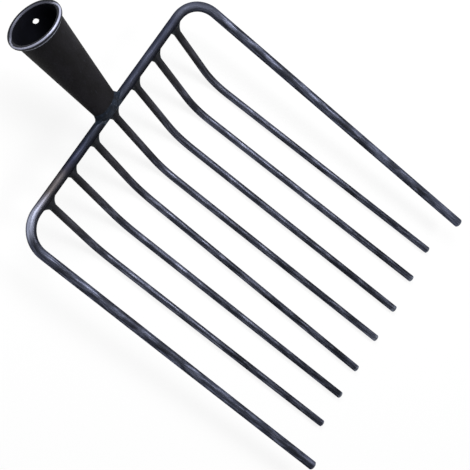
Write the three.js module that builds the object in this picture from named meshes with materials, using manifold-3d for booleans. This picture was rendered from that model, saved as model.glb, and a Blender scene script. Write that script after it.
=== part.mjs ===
// A nine-tine fork head of round steel bar with a tapered handle socket, in millimetres.
// X runs across the tines, Y forward to their tips, Z up. The fork lies on its inner tines.
import * as THREE from "three";
import { mergeVertices } from "three/addons/utils/BufferGeometryUtils.js";
import Module from "manifold-3d";

const wasm = await Module();
wasm.setup();

// Frame bar: one round bar bent into a U, with the crossbar between its two outer tines.
const frameBarDiameter = 8.5;
const frameWidth = 249.4;
const frameCornerRadius = 25;
const outerTineReach = 339;
const outerTineDrop = 18.6;
const outerTineSplay = 10.5;

// Inner tines: each slopes down from the crossbar, bends and runs level to its tip. They share the
// straight of the crossbar, clear of its corners, and fan out by a little at each pitch.
const tineCount = 7;
const tineBarDiameter = 6.5;
const tineCornerClearance = 9.1;
const tineGroupShift = -1.8;
const tineReach = 339;
const tineDrop = 41.7;
const tineBendReach = 69.5;
const tineBendRadius = 60;
const tineFanWidth = 2.96;

// Hand-set unevenness of the inner tines, from the +X side to the -X side.
const rootDriftShares = [0.02, 0, -0.05, 0.025, 0, 0, 0.025];
const tipDriftShares = [-0.06, -0.015, 0.1, 0.04, 0.01, -0.04, -0.035];
const bendDriftShares = [-0.01, 0.045, -0.035, 0.05, -0.01, -0.025, -0.04];
const reachDriftShares = [-0.004, -0.001, 0, 0.003, 0.005, 0.001, -0.003];

// Blunt cut ends of all the tines.
const tipChamfer = 0.6;

// Socket: a tapered tube, round at the mouth and pressed flat where it meets the crossbar.
const socketLength = 108;
const socketPitchDegrees = 30.9;
const socketWall = 1.8;
const socketMouthRadius = 21;
const socketFootHalfWidth = 12.4;
const socketFootHalfHeight = 4.2;
const socketFootRise = 1;
const socketFootSetback = 1;
const socketShift = -0.6;

// Rolled lip round the mouth, with a thin ridge behind it.
const lipRadius = 2;
const lipProud = 2.8;
const lipRidgeGap = 0.5;
const lipRidgeWidth = 0.9;
const lipRidgeHeight = 1;
const lipGrooveHeight = 0.45;
const lipInnerDegrees = 165;

// Nail hole through the underside of the socket.
const nailHoleDiameter = 5;
const nailHoleInset = 12.1;
const nailHoleTurnDegrees = -28;

// Welds. The gap keeps neighbouring solids apart.
const seamGap = 0.3;
const beadSkin = 0.8;
const tineFilletWide = 4.4;
const tineFilletNarrow = 2.2;
const tineFilletLength = 4.8;
const socketFilletWide = 4.5;
const socketFilletNarrow = 3;
const socketFilletLength = 5.5;
const socketBeadHeight = 1.3;
const cutOverrun = 5;

// How the fillets taper: the place along them, then the size at the sides and on top.
const tineFilletShares = [[0, 0.9], [0.25, 0.5], [0.6, 0.2], [1, 0]];
const socketFilletShares = [[0, 0.85, 1], [0.3, 0.45, 0.9], [0.65, 0.2, 0.7], [1, 0, 0]];

// How finely round shapes are divided.
const frameBarSides = 16;
const tineSides = 12;
const socketSides = 44;
const weldSides = 24;
const holeSides = 16;
const cornerSteps = 9;
const tineBendSteps = 5;
const lipSteps = 7;
const socketSteps = 4;

const frameBarRadius = frameBarDiameter / 2;
const tineRadius = tineBarDiameter / 2;
const crossbarHeight = tineRadius + tineDrop;
const tineGroupWidth = frameWidth - 2 * (frameCornerRadius + tineCornerClearance);
const tinePitch = tineGroupWidth / (tineCount - 1);
const socketPitch = THREE.MathUtils.degToRad(socketPitchDegrees);

// Centre line of a bent bar: straight runs between the points, with a round bend at each inner one.
class BarLine extends THREE.Curve {
  constructor(points, bendRadius, bendSteps) {
    super();
    this.places = [];
    this.directions = [];
    let direction = points[1].clone().sub(points[0]).normalize();
    this.addPlace(points[0], direction);
    for (let i = 1; i < points.length - 1; i += 1) {
      const next = points[i + 1].clone().sub(points[i]).normalize();
      this.addBend(points[i], direction, next, bendRadius, bendSteps);
      direction = next;
    }
    this.addPlace(points[points.length - 1], direction);
  }

  addPlace(place, direction) {
    this.places.push(place.clone());
    this.directions.push(direction.clone());
  }

  addBend(corner, before, after, radius, steps) {
    const turn = before.angleTo(after);
    const tangentLength = radius * Math.tan(turn / 2);
    const start = corner.clone().addScaledVector(before, -tangentLength);
    const inward = after.clone().addScaledVector(before, -after.dot(before)).normalize();
    for (let i = 0; i <= steps; i += 1) {
      const angle = (turn * i) / steps;
      const place = start.clone().addScaledVector(before, radius * Math.sin(angle));
      place.addScaledVector(inward, radius * (1 - Math.cos(angle)));
      const direction = before.clone().multiplyScalar(Math.cos(angle));
      direction.addScaledVector(inward, Math.sin(angle));
      this.addPlace(place, direction);
    }
  }

  stationAt(share) {
    return Math.round(share * (this.places.length - 1));
  }

  getPointAt(share) {
    return this.places[this.stationAt(share)].clone();
  }

  getTangentAt(share) {
    return this.directions[this.stationAt(share)].clone();
  }
}

// A round bar along a centre line.
function bar(line, radius, sides) {
  const section = new THREE.Shape();
  section.setFromPoints(circlePoints(radius, sides));
  const steps = line.places.length - 1;
  return new THREE.ExtrudeGeometry(section, { steps, extrudePath: line });
}

function circlePoints(radius, sides) {
  const points = [];
  for (let i = 0; i < sides; i += 1) {
    const angle = (i / sides) * Math.PI * 2;
    points.push(new THREE.Vector2(radius * Math.cos(angle), radius * Math.sin(angle)));
  }
  return points;
}

// Leaves a bevel at a cut end: an end face is drawn in, and a ring of full width stays behind it.
function bevelledEnd(points, bevel) {
  const last = points.length - 1;
  const direction = points[last].clone().sub(points[last - 1]).normalize();
  const full = points[last].clone().addScaledVector(direction, -bevel);
  return { tip: points[last], direction, full };
}

// Draws the end face of a bar in towards the tip, so that a bevel is left.
function drawIn(geometry, end, bevel, radius) {
  const position = geometry.attributes.position;
  const vertex = new THREE.Vector3();
  for (let i = 0; i < position.count; i += 1) {
    vertex.fromBufferAttribute(position, i);
    const beyond = vertex.clone().sub(end.tip);
    const isNear = beyond.length() < radius + bevel;
    if (isNear && beyond.dot(end.direction) > -bevel / 2) {
      vertex.lerp(end.tip, bevel / radius);
      position.setXYZ(i, vertex.x, vertex.y, vertex.z);
    }
  }
}

// A closed oval body: each ring has a place along Y, a half width to +X and to -X, and a half height.
function ovalBody(rings, sides) {
  const profile = rings.map((ring) => new THREE.Vector2(1, ring.along));
  profile.push(profile[0].clone());
  const geometry = new THREE.LatheGeometry(profile, sides);
  const position = geometry.attributes.position;
  for (let i = 0; i < position.count; i += 1) {
    const ring = rings[(i % profile.length) % rings.length];
    const x = position.getX(i);
    const halfWidth = x > 0 ? ring.plus : ring.minus;
    position.setXYZ(i, x * halfWidth, position.getY(i), position.getZ(i) * ring.height);
  }
  return geometry;
}

function roundRing(along, radius) {
  return { along, plus: radius, minus: radius, height: radius };
}

// Solids for cutting and joining.
function solid(geometry) {
  const bare = geometry.clone();
  bare.deleteAttribute("normal");
  bare.deleteAttribute("uv");
  const merged = mergeVertices(bare);
  const vertProperties = new Float32Array(merged.attributes.position.array);
  const triVerts = new Uint32Array(merged.index.array);
  return new wasm.Manifold(new wasm.Mesh({ numProp: 3, vertProperties, triVerts }));
}

function geometryOf(cutSolid) {
  const result = cutSolid.getMesh();
  const geometry = new THREE.BufferGeometry();
  geometry.setAttribute("position", new THREE.BufferAttribute(result.vertProperties, 3));
  geometry.setIndex(new THREE.BufferAttribute(result.triVerts, 1));
  geometry.computeVertexNormals();
  return geometry;
}

const steel = { roughness: 0.42, metalness: 0.9 };

function piece(name, geometry, color) {
  const material = new THREE.MeshStandardMaterial({ ...steel, color });
  const mesh = new THREE.Mesh(geometry, material);
  mesh.name = name;
  return mesh;
}

// The U-shaped centre line, drawn flat, from the tip on the +X side round to the other tip.
function frameEnds() {
  const slope = Math.atan2(outerTineDrop, outerTineReach);
  const reach = outerTineReach / Math.cos(slope);
  return [1, -1].map((side) => {
    const corner = new THREE.Vector3((side * frameWidth) / 2, 0, 0);
    const tip = new THREE.Vector3(corner.x + side * outerTineSplay, reach, 0);
    return { corner, slope, ...bevelledEnd([corner, tip], tipChamfer) };
  });
}

function frameLine([first, second]) {
  const points = [first.full, first.corner, second.corner, second.full];
  const line = new BarLine(points, frameCornerRadius, cornerSteps);
  line.places.unshift(first.tip.clone());
  line.directions.unshift(first.direction.clone().negate());
  line.addPlace(second.tip, second.direction);
  return line;
}

// Tips the flat U forward and lifts it to the crossbar's height.
function placeFrame(geometry, slope) {
  geometry.rotateX(-slope);
  geometry.translate(0, 0, crossbarHeight);
  return geometry;
}

function makeFrameBar() {
  const ends = frameEnds();
  const geometry = bar(frameLine(ends), frameBarRadius, frameBarSides);
  ends.forEach((end) => drawIn(geometry, end, tipChamfer, frameBarRadius));
  return piece("frame_bar", placeFrame(geometry, ends[0].slope), 0x4a4d5c);
}

// The space that the frame bar fills, grown by the seam gap.
function frameSpace() {
  const ends = frameEnds();
  const geometry = bar(frameLine(ends), frameBarRadius + seamGap, frameBarSides);
  return solid(placeFrame(geometry, ends[0].slope));
}

const keptClearOfFrame = frameSpace();

// Where inner tine number index (0 on the +X side) starts, bends and ends.
function tinePlaces(index) {
  const step = (tineCount - 1) / 2 - index;
  const x = step * tinePitch + tineGroupShift;
  const rootX = x + rootDriftShares[index] * tinePitch;
  const bendReach = tineBendReach * (1 + bendDriftShares[index]);
  const tipX = x + step * tineFanWidth + tipDriftShares[index] * tinePitch;
  const tipReach = tineReach * (1 + reachDriftShares[index]);
  return {
    root: new THREE.Vector3(rootX, 0, crossbarHeight),
    bend: new THREE.Vector3(rootX, bendReach, tineRadius),
    tip: new THREE.Vector3(tipX, tipReach, tineRadius),
    slope: Math.atan2(tineDrop, bendReach),
  };
}

function makeInnerTine(index) {
  const places = tinePlaces(index);
  const end = bevelledEnd([places.bend, places.tip], tipChamfer);
  const line = new BarLine([places.root, places.bend, end.full], tineBendRadius, tineBendSteps);
  line.addPlace(end.tip, end.direction);
  const geometry = bar(line, tineRadius, tineSides);
  drawIn(geometry, end, tipChamfer, tineRadius);
  const coped = solid(geometry).subtract(keptClearOfFrame);
  return piece(`inner_tine_${index + 1}`, geometryOf(coped), 0x3f4150);
}

// A fillet collar round the root of an inner tine, wider on the side that was welded from.
function makeTineWeld(index) {
  const places = tinePlaces(index);
  const start = frameBarRadius / 2;
  const face = frameBarRadius + seamGap;
  const collarRing = (along, share) => ({
    along,
    plus: tineRadius + Math.max(beadSkin, tineFilletNarrow * share),
    minus: tineRadius + Math.max(beadSkin, tineFilletWide * share),
    height: tineRadius + beadSkin,
  });
  const outer = [collarRing(start, 1)];
  tineFilletShares.forEach(([place, share]) => {
    outer.push(collarRing(face + tineFilletLength * place, share));
  });
  const bore = tineRadius + seamGap;
  const inner = [roundRing(face + tineFilletLength, bore), roundRing(start, bore)];
  const geometry = ovalBody([...outer, ...inner], weldSides);
  geometry.rotateX(-places.slope);
  geometry.translate(places.root.x, 0, crossbarHeight);
  const fillet = solid(geometry).subtract(keptClearOfFrame);
  return piece(`tine_weld_${index + 1}`, geometryOf(fillet), 0x2c3036);
}

// Socket sizes at a place along its axis, counted from the crossbar.
function socketRing(along, growth) {
  const share = along / socketLength;
  const width = THREE.MathUtils.lerp(socketFootHalfWidth, socketMouthRadius, share) + growth;
  const height = THREE.MathUtils.lerp(socketFootHalfHeight, socketMouthRadius, share) + growth;
  return { along, plus: width, minus: width, height };
}

// Turns a body made along Y into the socket's place, rising backwards from the crossbar.
function placeOnSocket(geometry) {
  geometry.rotateX(Math.PI - socketPitch);
  geometry.translate(socketShift, 0, crossbarHeight + socketFootRise);
  return geometry;
}

function lipRings() {
  const bottom = socketLength - lipRadius * 2;
  const ridgeTop = bottom - lipRidgeGap;
  const ridgeBottom = ridgeTop - lipRidgeWidth;
  const beadCentre = socketMouthRadius + lipProud - lipRadius;
  const rings = [
    socketRing(ridgeBottom - lipRidgeHeight, 0),
    socketRing(ridgeBottom, lipRidgeHeight),
    socketRing(ridgeTop, lipRidgeHeight),
    socketRing(ridgeTop + lipRidgeGap / 2, lipGrooveHeight),
  ];
  for (let i = 0; i <= lipSteps; i += 1) {
    const degrees = THREE.MathUtils.lerp(-90, lipInnerDegrees, i / lipSteps);
    const angle = THREE.MathUtils.degToRad(degrees);
    const along = socketLength - lipRadius + lipRadius * Math.sin(angle);
    rings.push(roundRing(along, beadCentre + lipRadius * Math.cos(angle)));
  }
  return rings;
}

function nailHole() {
  const along = socketLength - nailHoleInset;
  const wall = socketRing(along, -socketWall / 2).plus;
  const radius = nailHoleDiameter / 2;
  const geometry = new THREE.CylinderGeometry(radius, radius, cutOverrun * 2, holeSides);
  geometry.rotateX(Math.PI / 2);
  geometry.translate(0, along, wall);
  geometry.rotateY(THREE.MathUtils.degToRad(nailHoleTurnDegrees));
  return solid(placeOnSocket(geometry));
}

function makeSocket() {
  const rings = [];
  const lip = lipRings();
  const outerEnd = lip[0].along;
  const innerEnd = socketLength - lipRadius * 2;
  for (let i = 0; i < socketSteps; i += 1) {
    rings.push(socketRing(THREE.MathUtils.lerp(socketFootSetback, outerEnd, i / socketSteps), 0));
  }
  rings.push(...lip);
  for (let i = 0; i <= socketSteps; i += 1) {
    const along = THREE.MathUtils.lerp(innerEnd, socketFootSetback, i / socketSteps);
    rings.push(socketRing(along, -socketWall));
  }
  const geometry = placeOnSocket(ovalBody(rings, socketSides));
  const cut = solid(geometry).subtract(keptClearOfFrame).subtract(nailHole());
  return piece("socket", geometryOf(cut), 0x242225);
}

// The weld round the socket's foot: a raised bead above or below, with a fillet at each side.
function makeSocketWeld(name, side) {
  const face = frameBarRadius + seamGap;
  const start = socketFootSetback / 2;
  const collarRing = (along, sideShare, topShare) => {
    const ring = socketRing(along, 0);
    ring.plus += Math.max(beadSkin, socketFilletWide * sideShare);
    ring.minus += Math.max(beadSkin, socketFilletNarrow * sideShare);
    ring.height += Math.max(beadSkin, socketBeadHeight * topShare);
    return ring;
  };
  const outer = [collarRing(start, 1, 0)];
  socketFilletShares.forEach(([place, sideShare, topShare]) => {
    outer.push(collarRing(face + socketFilletLength * place, sideShare, topShare));
  });
  const inner = [
    socketRing(face + socketFilletLength, seamGap),
    socketRing(start, seamGap),
  ];
  const collar = solid(placeOnSocket(ovalBody([...outer, ...inner], socketSides)));
  const reach = socketFootHalfWidth + socketFilletWide + cutOverrun;
  const length = face + socketFilletLength + cutOverrun;
  const half = new THREE.BoxGeometry(reach * 2, length * 2, reach);
  half.translate(0, 0, side * (reach / 2 + seamGap / 2));
  const kept = solid(placeOnSocket(half));
  const weld = collar.intersect(kept).subtract(keptClearOfFrame);
  return piece(name, geometryOf(weld), 0x272c33);
}

const fork = new THREE.Group();
fork.add(makeFrameBar());
for (let index = 0; index < tineCount; index += 1) {
  fork.add(makeInnerTine(index));
  fork.add(makeTineWeld(index));
}
fork.add(makeSocket());
fork.add(makeSocketWeld("socket_weld_top", -1));
fork.add(makeSocketWeld("socket_weld_bottom", 1));

// The origin is on the floor, under the middle of the fork.
const extent = new THREE.Box3().setFromObject(fork);
const middle = extent.getCenter(new THREE.Vector3());
fork.position.set(-middle.x, -middle.y, -extent.min.z);

export default fork;
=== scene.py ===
import math

import bpy
from mathutils import Matrix, Vector


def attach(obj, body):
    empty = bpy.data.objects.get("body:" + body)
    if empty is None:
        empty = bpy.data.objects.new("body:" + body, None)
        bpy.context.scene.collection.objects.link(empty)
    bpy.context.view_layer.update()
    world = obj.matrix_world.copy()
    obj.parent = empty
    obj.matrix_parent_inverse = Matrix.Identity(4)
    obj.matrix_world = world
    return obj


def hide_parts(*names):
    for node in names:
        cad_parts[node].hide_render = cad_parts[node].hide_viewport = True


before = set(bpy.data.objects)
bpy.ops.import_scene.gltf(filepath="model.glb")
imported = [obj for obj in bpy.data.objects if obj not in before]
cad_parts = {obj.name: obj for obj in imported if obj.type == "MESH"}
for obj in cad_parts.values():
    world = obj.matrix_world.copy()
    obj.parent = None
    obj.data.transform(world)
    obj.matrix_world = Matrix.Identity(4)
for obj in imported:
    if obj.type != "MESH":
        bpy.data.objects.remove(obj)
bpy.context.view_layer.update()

# Frame bar. One 8.5 mm round steel bar bent cold into a U: its middle is the crossbar and its legs
# are the outer tines, which splay and dip towards their square-sheared tips. The steel keeps its
# blue-grey rolled skin, streaked along the bar, with heat tints from the welds, a painted
# highlight on each corner and painted shade along the crossbar.
MM = 0.001
bar_sides = 40
crossbar_middle = Vector((0, -118.28, 44.95)) * MM
frame_radius = 4.25 * MM
frame_half_width = 124.7 * MM
frame_corner_radius = 25 * MM
outer_tine_reach = 339 * MM
outer_tine_drop = 18.6 * MM
outer_tine_splay = 10.5 * MM
frame_tip_bevel = 0.6 * MM
frame_bend_steps = 16
bar_smooth_degrees = 40


def only(piece):
    """Selects this piece alone."""
    bpy.ops.object.select_all(action="DESELECT")
    piece.select_set(True)
    bpy.context.view_layer.objects.active = piece


def start_bar(name, radius, place, heading):
    """A disc across the bar, facing along it, left selected in edit mode."""
    bpy.ops.object.select_all(action="DESELECT")
    turn = heading.to_track_quat("Z", "Y").to_euler()
    bpy.ops.mesh.primitive_circle_add(
        vertices=bar_sides, radius=radius, fill_type="NGON", location=place, rotation=turn
    )
    bar = bpy.context.object
    bar.name = bar.data.name = name
    bpy.ops.object.transform_apply(location=True, rotation=True, scale=True)
    bpy.ops.object.mode_set(mode="EDIT")
    bpy.ops.mesh.select_all(action="SELECT")
    return bar


def draw_out(step):
    """Lengthens what is selected by one step."""
    bpy.ops.mesh.extrude_region_move(TRANSFORM_OT_translate={"value": step})


def close_up():
    """Turns every face outwards and leaves edit mode."""
    bpy.ops.mesh.select_all(action="SELECT")
    bpy.ops.mesh.normals_make_consistent(inside=False)
    bpy.ops.object.mode_set(mode="OBJECT")


def draw_and_bend(points, bend_radius, steps):
    """Draws the disc through the points, with a round bend at each inner one. Lists the bends."""
    bends = []
    here = points[0]
    for before, corner, after in zip(points, points[1:], points[2:]):
        heading = (corner - before).normalized()
        onward = (after - corner).normalized()
        turn = heading.angle(onward)
        tangent = bend_radius * math.tan(turn / 2)
        start = corner - heading * tangent
        inward = (onward - heading * onward.dot(heading)).normalized()
        centre = start + inward * bend_radius
        draw_out(start - here)
        bpy.ops.mesh.spin(steps=steps, angle=turn, center=centre, axis=onward.cross(heading))
        bends.append((centre, heading, inward, bend_radius, turn))
        here = corner + onward * tangent
    draw_out(points[-1] - here)
    close_up()
    return bends


def bevel_tips(bar, tips, radius, bevel):
    """Rounds the sheared edge at each tip."""
    near = 0.01 * MM
    for part in (*bar.data.vertices, *bar.data.polygons):
        part.select = False
    for edge in bar.data.edges:
        spots = [bar.data.vertices[i].co for i in edge.vertices]
        edge.select = any(
            all(abs((spot - tip).length - radius) < near for spot in spots) for tip in tips
        )
    bpy.ops.object.mode_set(mode="EDIT")
    bpy.ops.mesh.select_mode(type="EDGE")
    bpy.ops.mesh.bevel(offset=bevel, segments=3, affect="EDGES")
    bpy.ops.object.mode_set(mode="OBJECT")


def lay_grain(bar, start, bends, along_shift):
    """Keeps where each point of the skin lay on the straight bar, so streaks follow the bends."""
    first_heading, across = bends[0][1], bends[0][2]
    lift = first_heading.cross(across)
    grain = bar.data.attributes.new("grain", "FLOAT_VECTOR", "POINT")
    for vertex in bar.data.vertices:
        point = vertex.co.copy()
        for centre, heading, inward, bend_radius, turn in reversed(bends):
            offset = point - centre
            angle = math.atan2(offset.dot(heading), -offset.dot(inward))
            angle = min(max(angle, 0), turn)
            straight = Matrix.Rotation(-angle, 3, heading.cross(inward)) @ offset
            point = centre + straight + heading * bend_radius * angle
        point -= start
        along = point.dot(first_heading) + along_shift
        grain.data[vertex.index].vector = (point.dot(across), point.dot(lift), along)


def put(piece, turn, place):
    """Turns the piece about X, moves it into the fork and keeps its place in its mesh."""
    only(piece)
    piece.rotation_euler = (turn, 0, 0)
    piece.location = place
    bpy.ops.object.transform_apply(location=True, rotation=True, scale=True)


def hand_over(piece, node, finish, smooth_degrees):
    """The finished piece stands for the node, with its own material."""
    only(piece)
    bpy.ops.object.shade_smooth_by_angle(angle=math.radians(smooth_degrees))
    piece.data.materials.clear()
    piece.data.materials.append(finish.material)
    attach(piece, "root")
    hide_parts(node)


def tone(red, green, blue):
    """A colour as it looks on a screen, each part from 0 to 255, for a shader."""
    linear = []
    for level in (red, green, blue):
        part = level / 255
        linear.append(part / 12.92 if part < 0.04045 else ((part + 0.055) / 1.055) ** 2.4)
    return (*linear, 1)


class Link:
    """One output of a shader node. Sums and products of links add Math nodes."""

    def __init__(self, finish, socket):
        self.finish = finish
        self.socket = socket

    def math(self, operation, *values):
        """A Math node that takes these values or links."""
        sockets = dict(enumerate(values))
        return self.finish.node("ShaderNodeMath", {"operation": operation}, sockets)

    def __add__(self, other):
        return self.math("ADD", self, other)

    def __radd__(self, other):
        return self.math("ADD", other, self)

    def __sub__(self, other):
        return self.math("SUBTRACT", self, other)

    def __rsub__(self, other):
        return self.math("SUBTRACT", other, self)

    def __mul__(self, other):
        return self.math("MULTIPLY", self, other)


class Finish:
    """The nodes of one material."""

    def __init__(self, name):
        self.material = bpy.data.materials.new(name)
        self.material.use_nodes = True
        self.material.node_tree.nodes.clear()

    def node(self, kind, settings, sockets, output=0):
        """Adds a node: its settings first, then a value or a link for each named socket."""
        made = self.material.node_tree.nodes.new(kind)
        for key, value in settings.items():
            if key == "stops":
                ramp = made.color_ramp.elements
                while len(ramp) < len(value):
                    ramp.new(1)
                for element, (place, colour) in zip(ramp, value):
                    element.position, element.color = place, colour
            else:
                setattr(made, key, value)
        for key, value in sockets.items():
            if isinstance(value, Link):
                self.material.node_tree.links.new(value.socket, made.inputs[key])
            else:
                made.inputs[key].default_value = value
        return Link(self, made.outputs[output]) if made.outputs else None

    def object_place(self):
        """Where a point lies in the fork."""
        return self.node("ShaderNodeTexCoord", {}, {}, output=3)

    def grain(self):
        """Where a point of the skin lay on the straight bar: across, up and along."""
        return self.node("ShaderNodeAttribute", {"attribute_name": "grain"}, {}, output=1)

    def part(self, place, axis):
        """One coordinate of a place: 0, 1 or 2."""
        return self.node("ShaderNodeSeparateXYZ", {}, {0: place}, output=axis)

    def vector(self, operation, sockets, output=0):
        """A sum or product of places. Output 1 is a plain number."""
        return self.node("ShaderNodeVectorMath", {"operation": operation}, sockets, output)

    def noise(self, place, per_metre, detail):
        """Soft noise, with so many grains to the metre each way."""
        spread = self.vector("MULTIPLY", {0: place, 1: per_metre})
        return self.node(
            "ShaderNodeTexNoise", {}, {"Vector": spread, "Scale": 1, "Detail": detail}
        )

    def between(self, value, low, high):
        """0 below low, 1 above high, and smooth in between."""
        return self.node(
            "ShaderNodeMapRange",
            {"interpolation_type": "SMOOTHSTEP"},
            {"Value": value, "From Min": low, "From Max": high},
        )

    def blend(self, share, first, second):
        """A colour between the two."""
        return self.node(
            "ShaderNodeMix", {"data_type": "RGBA"}, {0: share, 6: first, 7: second}, output=2
        )

    def bump(self, height, depth):
        """Small relief, so many metres deep."""
        return self.node("ShaderNodeBump", {}, {"Height": height, "Distance": depth})

    def show(self, sockets):
        """The surface itself, from the shader's own sockets."""
        shader = self.node("ShaderNodeBsdfPrincipled", {}, sockets)
        self.node("ShaderNodeOutputMaterial", {}, {"Surface": shader})


def rolled_skin(finish, dark, light, worn):
    """Blue-grey mill scale: fine streaks and patches along the bar, pits, and rubbed flecks."""
    grain = finish.grain()
    streaks = finish.noise(grain, (650, 650, 75), 4)
    patches = finish.noise(grain, (200, 200, 45), 3)
    pits = finish.noise(grain, (1500, 1500, 900), 2)
    rubbed = finish.between(streaks * 0.7 + patches * 0.3, 0.46, 0.68)
    colour = finish.blend(finish.between(patches, 0.3, 0.66), dark, light)
    colour = finish.blend(rubbed * 0.65, colour, worn)
    roughness = 0.53 - rubbed * 0.1 + pits * 0.08
    height = pits * 0.6 + patches * 1.2 + streaks * 0.7
    return colour, roughness, height


frame_tips = [
    Vector((side * (frame_half_width + outer_tine_splay), 0, 0)) for side in (1, -1)
]
frame_slope = math.atan(outer_tine_drop / outer_tine_reach)
for tip in frame_tips:
    tip.y = outer_tine_reach / math.cos(frame_slope)
frame_corners = [Vector((side * frame_half_width, 0, 0)) for side in (1, -1)]
frame_points = [frame_tips[0], *frame_corners, frame_tips[1]]

frame_bar = start_bar(
    "bent_frame_bar", frame_radius, frame_tips[0], frame_corners[0] - frame_tips[0]
)
frame_bends = draw_and_bend(frame_points, frame_corner_radius, frame_bend_steps)
bevel_tips(frame_bar, frame_tips, frame_radius, frame_tip_bevel)
lay_grain(frame_bar, frame_tips[0], frame_bends, 0)
put(frame_bar, -frame_slope, crossbar_middle)

scale_gloss = {"Specular IOR Level": 0.1, "Specular Tint": (0, 0, 0.03, 1)}
scale_depth = 0.16 * MM
frame_steel = Finish("rolled_frame_steel")
skin, roughness, height = rolled_skin(
    frame_steel, tone(51, 53, 61), tone(74, 78, 93), tone(136, 141, 164)
)
place = frame_steel.object_place()
across = frame_steel.part(place, 0)
tinted_width = 250 * MM
# The ramp gives heat tints along the crossbar. Its brightest stops, from 0.88 on, paint a
# highlight on the +X corner.
heat_tint_and_highlight = frame_steel.node(
    "ShaderNodeValToRGB",
    {
        "stops": [
            (0.09, tone(68, 71, 84)),
            (0.13, tone(44, 47, 62)),
            (0.29, tone(48, 51, 65)),
            (0.39, tone(40, 43, 56)),
            (0.43, tone(31, 34, 43)),
            (0.5, tone(34, 38, 46)),
            (0.6, tone(31, 34, 44)),
            (0.7, tone(33, 36, 56)),
            (0.74, tone(46, 44, 55)),
            (0.77, tone(82, 77, 77)),
            (0.83, tone(88, 83, 83)),
            (0.88, tone(134, 134, 148)),
            (0.94, tone(184, 190, 214)),
        ]
    },
    {0: across * (1 / tinted_width) + 0.5},
)
from_middle = frame_steel.part(place, 1) - crossbar_middle.y
heat_and_highlight_zone = 1 - frame_steel.between(from_middle, 3 * MM, 12 * MM)
colour = frame_steel.blend(heat_and_highlight_zone * 0.85, skin, heat_tint_and_highlight)

# The crossbar carries painted shade along its front, where the tines were welded, and along its
# back edge towards +X.
at_crossbar = 1 - frame_steel.between(from_middle, 7 * MM, 25 * MM)
inward = frame_steel.part(frame_steel.grain(), 0)
front_shade = frame_steel.between(inward, -2.1 * MM, 1.3 * MM)
front_shade = front_shade * (0.75 + frame_steel.between(across, 40 * MM, 90 * MM) * 0.18)
back_edge_shade = frame_steel.between(inward, -3.3 * MM, -4.3 * MM)
back_edge_shade = back_edge_shade * frame_steel.between(across, 0, 40 * MM) * 0.75
colour = frame_steel.blend((front_shade + back_edge_shade) * at_crossbar, colour, tone(31, 32, 37))

# The -X corner gets a painted highlight, the two tips are rubbed, and the crossbar has a smoother
# skin towards +X.
corner_highlight = frame_steel.between(across, -103 * MM, -120 * MM)
corner_highlight = corner_highlight * (1 - frame_steel.between(from_middle, 15 * MM, 40 * MM))
colour = frame_steel.blend(corner_highlight * 0.1, colour, tone(146, 152, 178))
tips_rubbed = frame_steel.between(
    from_middle, outer_tine_reach - 2.2 * MM, outer_tine_reach - 0.5 * MM
)
colour = frame_steel.blend(tips_rubbed * 0.5, colour, tone(122, 126, 140))
polish = at_crossbar * frame_steel.between(across, 52 * MM, 90 * MM)
frame_steel.show(
    {
        "Base Color": colour,
        "Roughness": roughness - polish * 0.1,
        "Metallic": 0.85,
        "Normal": frame_steel.bump(height, scale_depth),
        **scale_gloss,
    }
)
hand_over(frame_bar, "frame_bar", frame_steel, bar_smooth_degrees)

# Inner tines. Seven thinner round bars of the same rolled steel. Each butts on the front of the
# crossbar, slopes down, bends once and runs level to a blunt, sheared tip. They were set by hand,
# so each root, bend and tip lies a little out of line. Soot darkens them near the welds, painted
# shade darkens each root further, and a painted highlight lies just past each bend.
tine_radius = 3.25 * MM
tine_bend_radius = 60 * MM
tine_bend_steps = 8
tine_reach = 339 * MM
tine_drop = 41.7 * MM
tine_start = 1 * MM
tine_tip_bevel = 0.4 * MM
streaks_apart = 0.53
# In mm from the crossbar's middle: each root across, each bend along, each tip across and along.
tine_roots = [89.404, 58.6, 26.89, -1.045, -32, -62.2, -91.645]
tine_bends = [68.805, 72.628, 67.068, 72.975, 68.805, 67.763, 66.72]
tine_tips = [
    (95.868, 337.644),
    (64.067, 338.661),
    (34.38, 339),
    (-0.592, 340.017),
    (-34.658, 340.68),
    (-69.328, 339.339),
    (-102.337, 337.983),
]

tine_steel = Finish("rolled_tine_steel")
skin, roughness, height = rolled_skin(
    tine_steel, tone(42, 44, 51), tone(67, 70, 83), tone(130, 134, 152)
)
place = tine_steel.object_place()
from_root = tine_steel.part(place, 1) - crossbar_middle.y
# A painted highlight on each tine just past the bend.
bend_highlight = tine_steel.between(from_root, 60 * MM, 85 * MM)
bend_highlight = bend_highlight * (1 - tine_steel.between(from_root, 100 * MM, 240 * MM))
skin = tine_steel.blend(bend_highlight * 0.1, skin, tone(140, 144, 166))
tips_rubbed = tine_steel.between(from_root, tine_reach - 3.5 * MM, tine_reach - 1 * MM)
skin = tine_steel.blend(tips_rubbed * 0.7, skin, tone(130, 136, 150))
soot = 1 - tine_steel.between(from_root, 20 * MM, 90 * MM)
skin = tine_steel.blend(soot * 0.75, skin, tone(54, 52, 54))
# Dark at the root: weld scorch, and painted shade where the tine meets the crossbar.
scorch_and_root_shade = 1 - tine_steel.between(from_root, 8 * MM, 30 * MM)
skin = tine_steel.blend(scorch_and_root_shade * 0.7, skin, tone(26, 27, 29))
tine_steel.show(
    {
        "Base Color": skin,
        "Roughness": roughness - 0.1 + soot * 0.12,
        "Metallic": 0.85 - soot * 0.5,
        "Normal": tine_steel.bump(height, scale_depth),
        **scale_gloss,
    }
)

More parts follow.
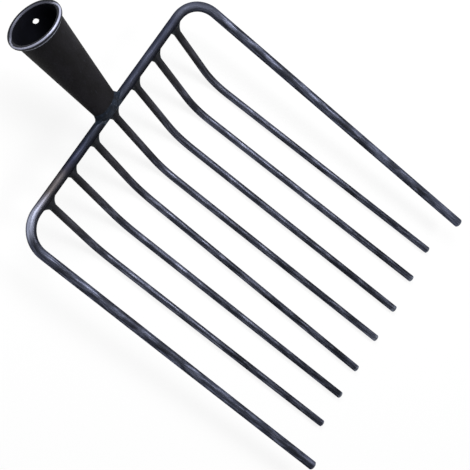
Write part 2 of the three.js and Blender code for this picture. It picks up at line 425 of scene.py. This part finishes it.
for number, (root_x, bend_y, (tip_x, tip_y)) in enumerate(
    zip(tine_roots, tine_bends, tine_tips), start=1
):
    root = Vector((root_x, 0, 0)) * MM
    bend = Vector((root_x, bend_y, 0)) * MM - Vector((0, 0, tine_drop))
    tip = Vector((tip_x, tip_y, 0)) * MM - Vector((0, 0, tine_drop))
    butt = root + (bend - root).normalized() * tine_start
    tine = start_bar(f"inner_tine_bar_{number}", tine_radius, butt, bend - root)
    bends = draw_and_bend([butt, bend, tip], tine_bend_radius, tine_bend_steps)
    bevel_tips(tine, [tip], tine_radius, tine_tip_bevel)
    lay_grain(tine, butt, bends, number * streaks_apart)
    put(tine, 0, crossbar_middle)
    hand_over(tine, f"inner_tine_{number}", tine_steel, bar_smooth_degrees)

# Tine welds. A fillet of weld metal round each tine's root, laid from the -X side, so it is broad
# there and narrow on the other side. It flows into both bars and is dull blue-black from the heat.
weld_grain = 0.35 * MM
weld_smooth_degrees = 60
settling_rounds = 18
hidden_frame_radius = 4.1 * MM
hidden_tine_radius = 3.1 * MM
# In mm from the root: where the hidden stubs end, and where the finished weld is cut off.
frame_stub_end, tine_stub_end = 13, 15
fillet_left, fillet_right, fillet_start, fillet_end = -10.6, 9.2, 0.2, 11.5
# Each ring in mm: its place along the tine, its reach to -X and to +X, and half its height.
fillet_rings = [
    (1.5, 9.0, 6.6, 2.5),
    (4.6, 9.0, 6.6, 2.7),
    (5.7, 6.9, 5.1, 2.9),
    (7.3, 5.1, 4.2, 3.1),
    (9.4, 3.8, 3.5, 3.2),
    (11.4, 3.15, 3.15, 3.15),
]
# The tine beside the +X corner has weld on both sides.
corner_fillet_rings = [
    (along, left, left * 0.95, height) for along, left, _, height in fillet_rings
]


def stub(radius, start, end):
    """A short round bar between two places, which the weld metal flows over."""
    piece = start_bar("stub", radius, start, end - start)
    draw_out(end - start)
    close_up()
    return piece


def oval_stub(rings):
    """A body of oval rings along Y, each with its place, its two reaches and half its height."""
    last_along, middle, width, flat = rings[0][0], 0, 1, 1
    piece = start_bar("stub", 1 * MM, Vector((0, last_along * MM, 0)), Vector((0, 1, 0)))
    for along, left, right, height in rings:
        if along != last_along:
            draw_out(Vector((0, along - last_along, 0)) * MM)
        new_middle, new_width = (right - left) / 2, (right + left) / 2
        bpy.ops.transform.translate(value=((new_middle - middle) * MM, 0, 0))
        bpy.ops.transform.resize(
            value=(new_width / width, 1, height / flat),
            center_override=(new_middle * MM, along * MM, 0),
        )
        last_along, middle, width, flat = along, new_middle, new_width, height
    close_up()
    return piece


def flow_together(name, stubs, rounds):
    """Melts the stubs into one body, and lets the metal settle into the corners."""
    bpy.ops.object.select_all(action="DESELECT")
    for piece in stubs:
        piece.select_set(True)
    bpy.context.view_layer.objects.active = stubs[0]
    bpy.ops.object.join()
    weld = bpy.context.object
    weld.name = weld.data.name = name
    melt = weld.modifiers.new("melt", "REMESH")
    melt.mode = "VOXEL"
    melt.voxel_size = weld_grain
    bpy.ops.object.modifier_apply(modifier="melt")
    settle = weld.modifiers.new("settle", "SMOOTH")
    settle.factor = 0.5
    settle.iterations = rounds
    bpy.ops.object.modifier_apply(modifier="settle")
    return weld


def trim(weld, place, outward):
    """Cuts away what lies beyond a plane, where the stub is hidden inside its bar."""
    only(weld)
    bpy.ops.object.mode_set(mode="EDIT")
    bpy.ops.mesh.select_all(action="SELECT")
    bpy.ops.mesh.bisect(plane_co=place, plane_no=outward, use_fill=True, clear_outer=True)
    bpy.ops.object.mode_set(mode="OBJECT")


def make_fillet(name, rings):
    """The weld of one tine, drawn along Y from the middle of the crossbar."""
    stub_end = Vector((frame_stub_end, 0, 0)) * MM
    frame_stub = stub(hidden_frame_radius, -stub_end, stub_end)
    tine_stub = stub(
        hidden_tine_radius, Vector((0, 0, 0)), Vector((0, tine_stub_end, 0)) * MM
    )
    weld = flow_together(name, [frame_stub, tine_stub, oval_stub(rings)], settling_rounds)
    trim(weld, Vector((fillet_left, 0, 0)) * MM, (-1, 0, 0))
    trim(weld, Vector((fillet_right, 0, 0)) * MM, (1, 0, 0))
    trim(weld, Vector((0, fillet_end, 0)) * MM, (0, 1, 0))
    trim(weld, Vector((0, fillet_start, 0)) * MM, (0, -1, 0))
    return weld


fillet = make_fillet("tine_fillet", fillet_rings)
corner_fillet = make_fillet("corner_tine_fillet", corner_fillet_rings)


def weld_skin(name, dark, light, bright):
    """Blue-black weld metal: soft mottling, fine ripples of the bead, and a few bright specks."""
    finish = Finish(name)
    place = finish.object_place()
    cloud = finish.noise(place, (260, 260, 260), 3)
    ripple = finish.noise(place, (900, 700, 700), 3)
    specks = finish.between(finish.noise(place, (650, 650, 650), 1), 0.66, 0.74)
    colour = finish.blend(finish.between(cloud, 0.35, 0.65), dark, light)
    colour = finish.blend(specks * 0.6, colour, bright)
    finish.show(
        {
            "Base Color": colour,
            "Roughness": 0.52 - specks * 0.15,
            "Specular IOR Level": 0.12,
            "Normal": finish.bump(ripple + cloud * 0.8, 0.2 * MM),
        }
    )
    return finish


weld_steel = weld_skin("weld_metal", tone(18, 20, 22), tone(27, 31, 36), tone(84, 90, 100))
tine_fillet_widths = [1, 0.9, 0.97, 0.95, 1, 1, 1]
for number, (root_x, bend_y, width) in enumerate(
    zip(tine_roots, tine_bends, tine_fillet_widths), start=1
):
    only(corner_fillet if number == 1 else fillet)
    bpy.ops.object.duplicate(linked=False)
    collar = bpy.context.object
    collar.name = collar.data.name = f"tine_fillet_{number}"
    slope = math.atan2(tine_drop, bend_y * MM)
    collar.scale.x = width
    put(collar, -slope, crossbar_middle + Vector((root_x * MM, 0, 0)))
    hand_over(collar, f"tine_weld_{number}", weld_steel, weld_smooth_degrees)
bpy.data.objects.remove(fillet)
bpy.data.objects.remove(corner_fillet)

# Socket. Sheet steel rolled into a taper and pressed flat at the crossbar, with its mouth rolled
# out into a lip that has a thin ridge behind it. One nail hole goes through the underside. The
# forge left it a dull brown-black, near-black inside, and the lip's worn crest and its ridge carry
# a painted highlight, strongest on the upper side.
socket_pitch = 30.9
socket_shift = Vector((-0.6, 0, 1)) * MM
socket_place = crossbar_middle + socket_shift
socket_turn = math.radians(90 - socket_pitch)
socket_axis = Vector((0, -math.sin(socket_turn), math.cos(socket_turn)))
socket_sides = 96
socket_smooth_degrees = 35
# In mm, with places along the socket counted from the crossbar. The taper runs on to the mouth.
socket_foot, socket_length, socket_wall = 3, 108, 1.8
start_half_width, start_half_height, mouth_radius = 12.4, 4.2, 21
wall_places = (socket_foot, 14, 27, 40, 53, 66, 79, 92)
outer_wall_end = 100
bore_starts = (103, 99)
# The ridge behind the lip: each place along the socket, and how far it stands out there.
ridge_growths = [
    (101.6, 0),
    (102.1, 0.35),
    (102.5, 0.85),
    (102.8, 1),
    (103.2, 1),
    (103.45, 0.8),
    (103.6, 0.5),
    (103.75, 0.45),
    (103.95, 0.5),
]
lip_along, lip_radius, lip_bead = 106, 21.8, 1.95
lip_start_degrees, lip_step_degrees, lip_points = -75, 17.5, 15
bore_end = 104.8
hole_along, hole_radius, hole_degrees = 95.9, 2.5, -28
punch_start, punch_length = 14, 12


def socket_half(along, growth):
    """Half the socket's width and height at a place along it, in mm."""
    share = along / socket_length
    half_width = start_half_width + share * (mouth_radius - start_half_width) + growth
    half_height = start_half_height + share * (mouth_radius - start_half_height) + growth
    return half_width, half_height


def socket_rings():
    """The socket's wall, from the foot outside over the lip and down to the foot inside."""
    rings = [(along, *socket_half(along, 0)) for along in (*wall_places, outer_wall_end)]
    rings += [(along, *socket_half(along, growth)) for along, growth in ridge_growths]
    for step in range(lip_points):
        angle = math.radians(lip_start_degrees + step * lip_step_degrees)
        radius = lip_radius + lip_bead * math.cos(angle)
        rings.append((lip_along + lip_bead * math.sin(angle), radius, radius))
    inner_places = (*bore_starts, *reversed(wall_places))
    rings += [(along, *socket_half(along, -socket_wall)) for along in inner_places]
    return rings


bpy.ops.object.select_all(action="DESELECT")
rings = socket_rings()
bpy.ops.mesh.primitive_circle_add(
    vertices=socket_sides,
    radius=1 * MM,
    fill_type="NOTHING",
    location=(0, 0, rings[0][0] * MM),
)
socket = bpy.context.object
socket.name = socket.data.name = "rolled_socket"
bpy.ops.object.transform_apply(location=True, rotation=True, scale=True)
bpy.ops.object.mode_set(mode="EDIT")
bpy.ops.mesh.select_all(action="SELECT")
along, width, height = rings[0][0], 1, 1
for number, (next_along, next_width, next_height) in enumerate(rings):
    if number:
        step = Vector((0, 0, next_along - along)) * MM
        bpy.ops.mesh.extrude_edges_move(TRANSFORM_OT_translate={"value": step})
    along = next_along
    bpy.ops.transform.resize(
        value=(next_width / width, next_height / height, 1), center_override=(0, 0, along * MM)
    )
    width, height = next_width, next_height
bpy.ops.object.mode_set(mode="OBJECT")

# The outside and the inside of the wall are joined by a narrow rim at the foot.
for vertex in socket.data.vertices:
    vertex.select = False
for edge in socket.data.edges:
    heights = [socket.data.vertices[i].co.z for i in edge.vertices]
    edge.select = all(abs(height - socket_foot * MM) < 0.01 * MM for height in heights)
bpy.ops.object.mode_set(mode="EDIT")
bpy.ops.mesh.select_mode(type="EDGE")
bpy.ops.mesh.bridge_edge_loops()
close_up()

# A round punch through the underside leaves the nail hole.
hole_turn = math.radians(hole_degrees)
hole_side = Vector((math.sin(hole_turn), -math.cos(hole_turn), 0))
punch_place = (hole_side * punch_start + Vector((0, 0, hole_along))) * MM
punch = start_bar("punch", hole_radius * MM, punch_place, hole_side)
draw_out(hole_side * punch_length * MM)
close_up()
only(socket)
cut = socket.modifiers.new("nail_hole", "BOOLEAN")
cut.operation = "DIFFERENCE"
cut.object = punch
bpy.ops.object.modifier_apply(modifier="nail_hole")
bpy.data.objects.remove(punch)
put(socket, socket_turn, socket_place)

socket_steel = Finish("forged_socket_steel")
place = socket_steel.object_place()
from_start = socket_steel.vector("SUBTRACT", {0: place, 1: socket_place})
along = socket_steel.vector("DOT_PRODUCT", {0: from_start, 1: socket_axis}, output=1)
on_axis = socket_steel.vector("SCALE", {0: tuple(socket_axis), 3: along})
off_axis = socket_steel.vector("SUBTRACT", {0: from_start, 1: on_axis})
radius = socket_steel.vector("LENGTH", {0: off_axis}, output=1)
cloud = socket_steel.noise(place, (70, 45, 45), 4)
fine = socket_steel.noise(place, (900, 900, 900), 3)
scuffs = socket_steel.noise(place, (520, 120, 160), 3)

# The lip has a bright band painted where the lights' highlight falls on its worn crest, brightest
# on the upper side. On the upper side the band lies on the outer part of the bead, and on the
# underside it lies on its inner edge. The ridge gets a painted highlight on the upper side too.
lit_heading = (16, 22, 38)
upward = socket_steel.vector("DOT_PRODUCT", {0: off_axis, 1: lit_heading}, output=1)
highlight_side = socket_steel.between(upward + (fine - 0.5) * 0.3, -0.45, 0.35)
out_of_bead = radius - lip_radius * MM
bead_angle = out_of_bead.math("ARCTAN2", out_of_bead, along - lip_along * MM)
at_lip = socket_steel.between(along, 103.6 * MM, 104 * MM)
crest = at_lip * socket_steel.between(bead_angle - highlight_side * 1.95, -1.65, -1.4)
crest = crest * (1 - socket_steel.between(bead_angle - highlight_side * 1.75, -0.8, -0.4))
ridge = socket_steel.between(along, 102.2 * MM, 102.6 * MM)
ridge = ridge * (1 - socket_steel.between(along, 103.4 * MM, 103.7 * MM))
# The crest's bright colour is a painted highlight on worn metal, strongest on the upper side.
bright = crest * (0.26 + highlight_side * 0.74)
edge = at_lip + ridge * 0.5
colour = socket_steel.blend(
    socket_steel.between(cloud, 0.35, 0.65), tone(17, 16, 18), tone(24, 23, 27)
)
colour = socket_steel.blend(
    socket_steel.between(scuffs, 0.6, 0.75) * 0.3, colour, tone(46, 48, 58)
)
colour = socket_steel.blend(edge * 0.7, colour, tone(32, 34, 42))
# A painted highlight on the ridge, on the upper side.
colour = socket_steel.blend(ridge * highlight_side * 0.8, colour, tone(150, 154, 170))
colour = socket_steel.blend(bright, colour, tone(162, 165, 186))
socket_steel.show(
    {
        "Base Color": colour,
        "Roughness": 0.7 - edge * 0.2 - bright * 0.16 - fine * 0.05,
        "Metallic": edge * 0.3 - bright * 0.1,
        "Specular IOR Level": 0.1,
        "Normal": socket_steel.bump(fine + cloud * 2, 0.15 * MM),
    }
)

# The bore is near-black as far out as the lip.
bore_steel = Finish("near_black_bore")
soot = bore_steel.noise(bore_steel.object_place(), (180, 180, 180), 4)
bore_steel.show(
    {
        "Base Color": bore_steel.blend(soot, tone(7, 8, 11), tone(14, 15, 23)),
        "Roughness": 0.85 - soot * 0.1,
        "Specular IOR Level": 0.05,
        "Normal": bore_steel.bump(soot, 0.2 * MM),
    }
)
hand_over(socket, "socket", socket_steel, socket_smooth_degrees)
socket.data.materials.append(bore_steel.material)
for face in socket.data.polygons:
    offset = face.center - socket_place
    depth = offset.dot(socket_axis)
    outward = offset - socket_axis * depth
    face.material_index = int(depth < bore_end * MM and face.normal.dot(outward) < 0)

# Socket welds. One run of weld over the socket's foot and one under it, each flowing out into a
# fillet at the sides. The bead lies along the middle of the crossbar, blue-black and rippled.
seam_settling_rounds = 16
# In mm from the middle of the crossbar: the bead, and where the hidden stub ends.
bead_radius, bead_end, bead_forward, bead_lift = 2, 12.5, 1.8, 2.7
seam_stub_end = 25
# In mm from the socket's start: where the finished welds are cut off, across and along it.
seam_left, seam_right, seam_end = -17.8, 18.6, 11
# The weld metal on the foot: each place along the socket, and how far it stands out there.
foot_growths = [(0.4, 0.7), (4.5, 0.8), (6.5, 0.4), (8.2, -0.1), (20, -0.4)]
# The fillets at its sides, in rings like those of the tine welds.
socket_fillet_rings = [
    (-1, 17.2, 17.2, 2.8),
    (4, 17.6, 17.8, 3.6),
    (5.2, 15.9, 15.4, 4.8),
    (6.8, 14.7, 14.2, 5.3),
    (9.5, 13.6, 13.4, 5.4),
]
foot_rings = []
for along, growth in foot_growths:
    half_width, half_height = socket_half(along, growth)
    foot_rings.append((along, half_width, half_width, half_height))
foot = oval_stub(foot_rings)
collar = oval_stub(socket_fillet_rings)
for piece in (foot, collar):
    put(piece, math.pi - math.radians(socket_pitch), socket_shift)
bead = stub(
    bead_radius * MM,
    Vector((-bead_end, bead_forward, bead_lift)) * MM,
    Vector((bead_end, bead_forward, bead_lift)) * MM,
)
stub_end = Vector((seam_stub_end, 0, 0)) * MM
crossbar_stub = stub(hidden_frame_radius, -stub_end, stub_end)
seam = flow_together(
    "socket_seam", [crossbar_stub, foot, collar, bead], seam_settling_rounds
)
put(seam, 0, crossbar_middle)

socket_weld_steel = weld_skin(
    "socket_weld_metal", tone(14, 19, 27), tone(25, 34, 46), tone(84, 90, 102)
)
cross_fold = Vector((0, math.cos(socket_turn), math.sin(socket_turn)))
for name, node, side in (
    ("socket_bead_top", "socket_weld_top", 1),
    ("socket_bead_bottom", "socket_weld_bottom", -1),
):
    only(seam)
    bpy.ops.object.duplicate(linked=False)
    half = bpy.context.object
    half.name = half.data.name = name
    trim(half, socket_place, cross_fold * -side)
    trim(half, socket_place + Vector((seam_left, 0, 0)) * MM, (-1, 0, 0))
    trim(half, socket_place + Vector((seam_right, 0, 0)) * MM, (1, 0, 0))
    trim(half, socket_place + socket_axis * seam_end * MM, socket_axis)
    hand_over(half, node, socket_weld_steel, weld_smooth_degrees)
bpy.data.objects.remove(seam)

# Studio. A sweep of white paper, flat under the fork and curved up far off all round it. Two soft
# lights stand over it, one behind the socket and one past the tines. The camera looks down.
sweep_radius = 5
sweep_step = 0.42
sweep_angles = (5, 15, 25, 35, 45, 55, 65, 75, 85, 90)
paper_drop = 0.2 * MM
paper_white = 0.88
light_distance = 1.3
camera_place = (0.22479, -0.25729, 0.85781)
camera_turns = (0.05, -23.621, 125.82)
camera_lens = 79.7

bpy.ops.object.select_all(action="DESELECT")
bpy.ops.mesh.primitive_circle_add(
    vertices=96, radius=sweep_radius, fill_type="NGON", location=(0, 0, -paper_drop)
)
floor = bpy.context.object
floor.name = floor.data.name = "studio_floor"
bpy.ops.object.mode_set(mode="EDIT")
bpy.ops.mesh.select_mode(type="EDGE")
bpy.ops.mesh.select_all(action="SELECT")
for angle in sweep_angles:
    out = sweep_step * math.cos(math.radians(angle))
    up = sweep_step * math.sin(math.radians(angle))
    bpy.ops.mesh.extrude_edges_move(TRANSFORM_OT_translate={"value": (0, 0, up)})
    growth = (sweep_radius + out) / sweep_radius
    bpy.ops.transform.resize(value=(growth, growth, 1))
    sweep_radius += out
bpy.ops.object.mode_set(mode="OBJECT")
bpy.ops.object.shade_smooth()

# The paper looks almost plain white, and lights the fork from below as paper does.
paper = Finish("white_paper")
rays = []
for name in ("Is Camera Ray", "Is Glossy Ray", "Is Transmission Ray"):
    rays.append(paper.node("ShaderNodeLightPath", {}, {}, output=name))
seen = rays[0].math("MINIMUM", rays[0] + rays[1] + rays[2], 1)
lit = paper.node("ShaderNodeBsdfDiffuse", {}, {"Color": (0.84, 0.84, 0.84, 1)})
white = paper.node("ShaderNodeEmission", {}, {"Color": (1, 1, 1, 1), "Strength": 1})
mixed = paper.node("ShaderNodeMixShader", {}, {0: seen * paper_white, 1: lit, 2: white})
paper.node("ShaderNodeOutputMaterial", {}, {"Surface": mixed})
floor.data.materials.append(paper.material)


def soft_light(name, heading, size, power):
    """A square lamp that shines on the fork from this side."""
    bpy.ops.object.light_add(type="AREA", location=heading.normalized() * light_distance)
    lamp = bpy.context.object
    lamp.name = name
    lamp.rotation_euler = heading.to_track_quat("Z", "Y").to_euler()
    lamp.data.size = size
    lamp.data.energy = power


soft_light("light_behind_socket", Vector((-0.3, -0.5, 0.79)), 0.7, 17)
soft_light("light_past_tines", Vector((-0.4, 0.3, 0.84)), 0.5, 11)

world = bpy.data.worlds.new("studio_air")
bpy.context.scene.world = world
world.use_nodes = True
background = world.node_tree.nodes["Background"]
background.inputs["Color"].default_value = (0.95, 0.97, 1, 1)
background.inputs["Strength"].default_value = 0.06

bpy.ops.object.camera_add(
    location=camera_place, rotation=[math.radians(turn) for turn in camera_turns]
)
camera = bpy.context.object
camera.name = "photo_camera"
camera.data.sensor_width = 36
camera.data.lens = camera_lens
bpy.context.scene.camera = camera
bpy.context.scene.view_settings.view_transform = "Standard"
